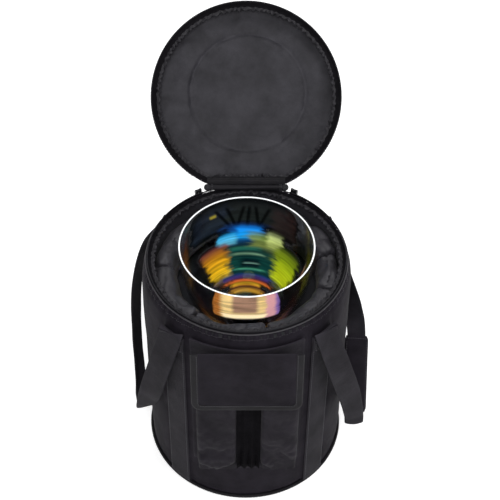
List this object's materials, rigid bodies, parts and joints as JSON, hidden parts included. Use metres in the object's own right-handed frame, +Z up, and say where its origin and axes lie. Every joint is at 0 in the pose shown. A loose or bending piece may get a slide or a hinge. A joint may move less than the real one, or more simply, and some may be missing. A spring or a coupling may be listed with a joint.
{
  "type": "singing bowl in carrying bag",
  "caption": "Clear crystal singing bowl on a hollow stem in a round padded carrying bag with a zipped lid, webbing handles and a mallet pocket.",
  "frame": {"origin": "centre of the flat base, on the bag's axis", "axes": "+Z up along the bag's axis, +Y towards the lid's hinge, +X to the right seen from the pocket"},
  "size_m": [0.3758, 0.5432, 0.61],
  "materials": {
    "shell": "black woven nylon, matt",
    "lining": "thin black nylon lining, slightly shiny",
    "pad": "soft padded black nylon",
    "foam": "dark grey foam",
    "board": "dark plastic board",
    "binding": "black ribbed binding tape",
    "webbing": "black ribbed webbing",
    "zip": "black plastic zip coil",
    "slider": "black painted metal",
    "hook": "hook and loop tape",
    "crystal": "clear polished crystal with a thin rainbow coating"
  },
  "bodies": {
    "bag": {"band_front_left": "webbing", "band_front_right": "webbing", "band_rear_left": "webbing", "band_rear_right": "webbing", "base_board": "board", "base_foam": "foam", "base_panel": "shell", "base_piping": "binding", "body_lining": "lining", "body_shell": "shell", "cradle_foam": "foam", "hinge_roll": "binding", "loop_strip_left": "hook", "loop_strip_right": "hook", "pocket_back": "shell", "pocket_pleat": "shell", "pouch_left": "shell", "pouch_right": "shell", "rim_binding": "binding", "rim_piping": "binding", "side_pad_1": "pad", "side_pad_2": "pad", "side_pad_3": "pad", "side_pad_4": "pad", "side_pad_5": "pad", "side_pad_6": "pad", "side_pad_7": "pad", "wall_foam": "foam", "zip_coil_body": "zip", "zip_tape_body": "binding"},
    "lid": {"lid_binding": "binding", "lid_foam": "foam", "lid_lining": "lining", "lid_shell": "shell", "zip_coil_lid": "zip", "zip_tape_lid": "binding"},
    "bowl": {"crystal_bowl": "crystal"},
    "pocket_flap": {"flap_panel": "shell", "flap_binding": "binding", "hook_strip": "hook"},
    "handle_left": {"handle_left": "webbing"},
    "handle_right": {"handle_right": "webbing", "grip_base": "pad"},
    "grip_flap": {"grip_flap": "pad"},
    "slider_left": {"zip_slider_left": "slider"},
    "slider_right": {"zip_slider_right": "slider"},
    "tab_left": {"pull_tab_left": "slider"},
    "tab_right": {"pull_tab_right": "slider"}
  },
  "joints": [
    {"name": "lid_hinge", "type": "hinge", "parent": "bag", "child": "lid", "pos_m": [0, 0.1385, 0.41], "axis": [-1, 0, 0], "range_deg": [-135, 0]},
    {"name": "bowl_lift", "type": "slide", "parent": "bag", "child": "bowl", "axis": [0, 0, 1], "range_m": [0, 0.36]},
    {"name": "flap_hinge", "type": "hinge", "parent": "bag", "child": "pocket_flap", "pos_m": [0, -0.16, 0.3795], "axis": [-1, 0, 0], "range_deg": [0, 150]},
    {"name": "handle_left_swing", "type": "hinge", "parent": "bag", "child": "handle_left", "pos_m": [-0.135, 0, 0.374], "axis": [0, 1, 0], "range_deg": [0, 115]},
    {"name": "handle_right_swing", "type": "hinge", "parent": "bag", "child": "handle_right", "pos_m": [0.135, 0, 0.374], "axis": [0, -1, 0], "range_deg": [0, 115]},
    {"name": "grip_opening", "type": "hinge", "parent": "handle_right", "child": "grip_flap", "pos_m": [0.18937, -0.08101, 0.12047], "axis": [0.0602, 0.883, 0.4656], "range_deg": [0, 120]},
    {"name": "slider_left_travel", "type": "hinge", "parent": "bag", "child": "slider_left", "pos_m": [0, 0, 0.4045], "axis": [0, 0, -1], "range_deg": [-148, 0]},
    {"name": "slider_right_travel", "type": "hinge", "parent": "bag", "child": "slider_right", "pos_m": [0, 0, 0.4045], "axis": [0, 0, 1], "range_deg": [-148, 0]},
    {"name": "tab_left_swing", "type": "hinge", "parent": "slider_left", "child": "tab_left", "pos_m": [-0.07509, 0.13273, 0.4105], "axis": [0.8704, 0.4924, 0], "range_deg": [0, 80]},
    {"name": "tab_right_swing", "type": "hinge", "parent": "slider_right", "child": "tab_right", "pos_m": [0.07509, 0.13273, 0.4105], "axis": [0.8704, -0.4924, 0], "range_deg": [0, 80]}
  ]
}
